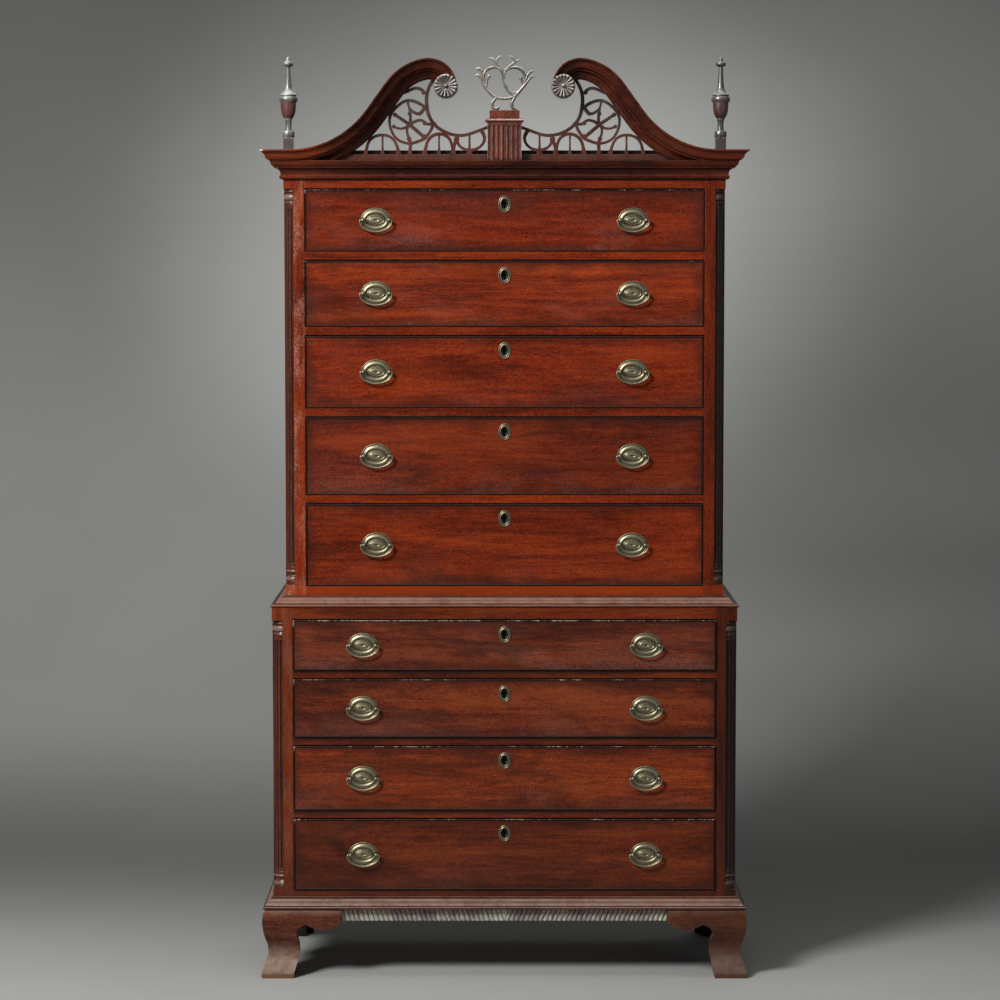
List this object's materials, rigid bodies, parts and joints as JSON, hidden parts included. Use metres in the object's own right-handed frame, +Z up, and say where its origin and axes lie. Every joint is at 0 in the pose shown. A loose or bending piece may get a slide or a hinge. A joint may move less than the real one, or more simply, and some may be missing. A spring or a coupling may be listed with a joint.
{
  "type": "chest on chest",
  "caption": "Tall cherry chest on chest with graduated locking drawers, fluted quarter columns, a swan-neck pediment over pierced fretwork and ogee bracket feet",
  "frame": {"origin": "centre of the overall box, on the floor", "axes": "+X to the right seen from the front, +Y from the front to the back, +Z up"},
  "size_m": [1.164, 0.527, 2.1979],
  "materials": {
    "cherry_case": "aged cherry under worn shellac, satin",
    "cherry_drawers": "aged cherry fronts with darker edges, satin; plain poplar linings behind",
    "cherry_mouldings": "aged cherry, dusty satin on the mouldings",
    "cherry_carved": "dark aged cherry with grey dust in the carving",
    "poplar": "bare, oxidised secondary wood",
    "brass": "aged brass, greenish in the hollows, bright on the high spots"
  },
  "bodies": {
    "lower_chest": {"lower_carcass": "cherry_case", "lower_face_frame": "cherry_case", "lower_runners": "poplar", "lower_backboards": "poplar", "lower_quarter_columns": "cherry_case", "base_moulding": "cherry_mouldings", "waist_moulding": "cherry_mouldings", "bracket_feet": "cherry_mouldings", "gadrooned_apron": "cherry_mouldings"},
    "upper_chest": {"upper_carcass": "cherry_case", "upper_dust_board": "cherry_case", "upper_face_frame": "cherry_case", "upper_runners": "poplar", "upper_backboards": "poplar", "upper_quarter_columns": "cherry_case", "cornice": "cherry_mouldings", "swan_neck_left": "cherry_mouldings", "swan_neck_right": "cherry_mouldings", "fretwork_left": "cherry_carved", "fretwork_right": "cherry_carved", "rosettes": "cherry_carved", "urn_finials": "cherry_carved", "centre_plinth": "cherry_carved", "centre_finial": "cherry_carved"},
    "drawer_1": {"drawer_1": "cherry_drawers", "drawer_1_brasses": "brass"},
    "drawer_1_bail_left": {"drawer_1_bail_left": "brass"},
    "drawer_1_bail_right": {"drawer_1_bail_right": "brass"},
    "drawer_2": {"drawer_2": "cherry_drawers", "drawer_2_brasses": "brass"},
    "drawer_2_bail_left": {"drawer_2_bail_left": "brass"},
    "drawer_2_bail_right": {"drawer_2_bail_right": "brass"},
    "drawer_3": {"drawer_3": "cherry_drawers", "drawer_3_brasses": "brass"},
    "drawer_3_bail_left": {"drawer_3_bail_left": "brass"},
    "drawer_3_bail_right": {"drawer_3_bail_right": "brass"},
    "drawer_4": {"drawer_4": "cherry_drawers", "drawer_4_brasses": "brass"},
    "drawer_4_bail_left": {"drawer_4_bail_left": "brass"},
    "drawer_4_bail_right": {"drawer_4_bail_right": "brass"},
    "drawer_5": {"drawer_5": "cherry_drawers", "drawer_5_brasses": "brass"},
    "drawer_5_bail_left": {"drawer_5_bail_left": "brass"},
    "drawer_5_bail_right": {"drawer_5_bail_right": "brass"},
    "drawer_6": {"drawer_6": "cherry_drawers", "drawer_6_brasses": "brass"},
    "drawer_6_bail_left": {"drawer_6_bail_left": "brass"},
    "drawer_6_bail_right": {"drawer_6_bail_right": "brass"},
    "drawer_7": {"drawer_7": "cherry_drawers", "drawer_7_brasses": "brass"},
    "drawer_7_bail_left": {"drawer_7_bail_left": "brass"},
    "drawer_7_bail_right": {"drawer_7_bail_right": "brass"},
    "drawer_8": {"drawer_8": "cherry_drawers", "drawer_8_brasses": "brass"},
    "drawer_8_bail_left": {"drawer_8_bail_left": "brass"},
    "drawer_8_bail_right": {"drawer_8_bail_right": "brass"},
    "drawer_9": {"drawer_9": "cherry_drawers", "drawer_9_brasses": "brass"},
    "drawer_9_bail_left": {"drawer_9_bail_left": "brass"},
    "drawer_9_bail_right": {"drawer_9_bail_right": "brass"}
  },
  "joints": [
    {"name": "upper_chest_lift", "type": "slide", "parent": "lower_chest", "child": "upper_chest", "axis": [0, 0, 1], "range_m": [0, 0.08]},
    {"name": "drawer_1_slide", "type": "slide", "parent": "upper_chest", "child": "drawer_1", "axis": [0, -1, 0], "range_m": [0, 0.33]},
    {"name": "drawer_1_bail_left_swing", "type": "hinge", "parent": "drawer_1", "child": "drawer_1_bail_left", "pos_m": [-0.305, -0.215, 1.81075], "axis": [-1, 0, 0], "range_deg": [0, 95]},
    {"name": "drawer_1_bail_right_swing", "type": "hinge", "parent": "drawer_1", "child": "drawer_1_bail_right", "pos_m": [0.305, -0.215, 1.81075], "axis": [-1, 0, 0], "range_deg": [0, 95]},
    {"name": "drawer_2_slide", "type": "slide", "parent": "upper_chest", "child": "drawer_2", "axis": [0, -1, 0], "range_m": [0, 0.33]},
    {"name": "drawer_2_bail_left_swing", "type": "hinge", "parent": "drawer_2", "child": "drawer_2_bail_left", "pos_m": [-0.305, -0.215, 1.63725], "axis": [-1, 0, 0], "range_deg": [0, 95]},
    {"name": "drawer_2_bail_right_swing", "type": "hinge", "parent": "drawer_2", "child": "drawer_2_bail_right", "pos_m": [0.305, -0.215, 1.63725], "axis": [-1, 0, 0], "range_deg": [0, 95]},
    {"name": "drawer_3_slide", "type": "slide", "parent": "upper_chest", "child": "drawer_3", "axis": [0, -1, 0], "range_m": [0, 0.33]},
    {"name": "drawer_3_bail_left_swing", "type": "hinge", "parent": "drawer_3", "child": "drawer_3_bail_left", "pos_m": [-0.305, -0.215, 1.45125], "axis": [-1, 0, 0], "range_deg": [0, 95]},
    {"name": "drawer_3_bail_right_swing", "type": "hinge", "parent": "drawer_3", "child": "drawer_3_bail_right", "pos_m": [0.305, -0.215, 1.45125], "axis": [-1, 0, 0], "range_deg": [0, 95]},
    {"name": "drawer_4_slide", "type": "slide", "parent": "upper_chest", "child": "drawer_4", "axis": [0, -1, 0], "range_m": [0, 0.33]},
    {"name": "drawer_4_bail_left_swing", "type": "hinge", "parent": "drawer_4", "child": "drawer_4_bail_left", "pos_m": [-0.305, -0.215, 1.25075], "axis": [-1, 0, 0], "range_deg": [0, 95]},
    {"name": "drawer_4_bail_right_swing", "type": "hinge", "parent": "drawer_4", "child": "drawer_4_bail_right", "pos_m": [0.305, -0.215, 1.25075], "axis": [-1, 0, 0], "range_deg": [0, 95]},
    {"name": "drawer_5_slide", "type": "slide", "parent": "upper_chest", "child": "drawer_5", "axis": [0, -1, 0], "range_m": [0, 0.33]},
    {"name": "drawer_5_bail_left_swing", "type": "hinge", "parent": "drawer_5", "child": "drawer_5_bail_left", "pos_m": [-0.305, -0.215, 1.038], "axis": [-1, 0, 0], "range_deg": [0, 95]},
    {"name": "drawer_5_bail_right_swing", "type": "hinge", "parent": "drawer_5", "child": "drawer_5_bail_right", "pos_m": [0.305, -0.215, 1.038], "axis": [-1, 0, 0], "range_deg": [0, 95]},
    {"name": "drawer_6_slide", "type": "slide", "parent": "lower_chest", "child": "drawer_6", "axis": [0, -1, 0], "range_m": [0, 0.355]},
    {"name": "drawer_6_bail_left_swing", "type": "hinge", "parent": "drawer_6", "child": "drawer_6_bail_left", "pos_m": [-0.338, -0.2505, 0.801], "axis": [-1, 0, 0], "range_deg": [0, 95]},
    {"name": "drawer_6_bail_right_swing", "type": "hinge", "parent": "drawer_6", "child": "drawer_6_bail_right", "pos_m": [0.338, -0.2505, 0.801], "axis": [-1, 0, 0], "range_deg": [0, 95]},
    {"name": "drawer_7_slide", "type": "slide", "parent": "lower_chest", "child": "drawer_7", "axis": [0, -1, 0], "range_m": [0, 0.355]},
    {"name": "drawer_7_bail_left_swing", "type": "hinge", "parent": "drawer_7", "child": "drawer_7_bail_left", "pos_m": [-0.338, -0.2505, 0.6495], "axis": [-1, 0, 0], "range_deg": [0, 95]},
    {"name": "drawer_7_bail_right_swing", "type": "hinge", "parent": "drawer_7", "child": "drawer_7_bail_right", "pos_m": [0.338, -0.2505, 0.6495], "axis": [-1, 0, 0], "range_deg": [0, 95]},
    {"name": "drawer_8_slide", "type": "slide", "parent": "lower_chest", "child": "drawer_8", "axis": [0, -1, 0], "range_m": [0, 0.355]},
    {"name": "drawer_8_bail_left_swing", "type": "hinge", "parent": "drawer_8", "child": "drawer_8_bail_left", "pos_m": [-0.338, -0.2505, 0.481], "axis": [-1, 0, 0], "range_deg": [0, 95]},
    {"name": "drawer_8_bail_right_swing", "type": "hinge", "parent": "drawer_8", "child": "drawer_8_bail_right", "pos_m": [0.338, -0.2505, 0.481], "axis": [-1, 0, 0], "range_deg": [0, 95]},
    {"name": "drawer_9_slide", "type": "slide", "parent": "lower_chest", "child": "drawer_9", "axis": [0, -1, 0], "range_m": [0, 0.355]},
    {"name": "drawer_9_bail_left_swing", "type": "hinge", "parent": "drawer_9", "child": "drawer_9_bail_left", "pos_m": [-0.338, -0.2505, 0.2965], "axis": [-1, 0, 0], "range_deg": [0, 95]},
    {"name": "drawer_9_bail_right_swing", "type": "hinge", "parent": "drawer_9", "child": "drawer_9_bail_right", "pos_m": [0.338, -0.2505, 0.2965], "axis": [-1, 0, 0], "range_deg": [0, 95]}
  ]
}
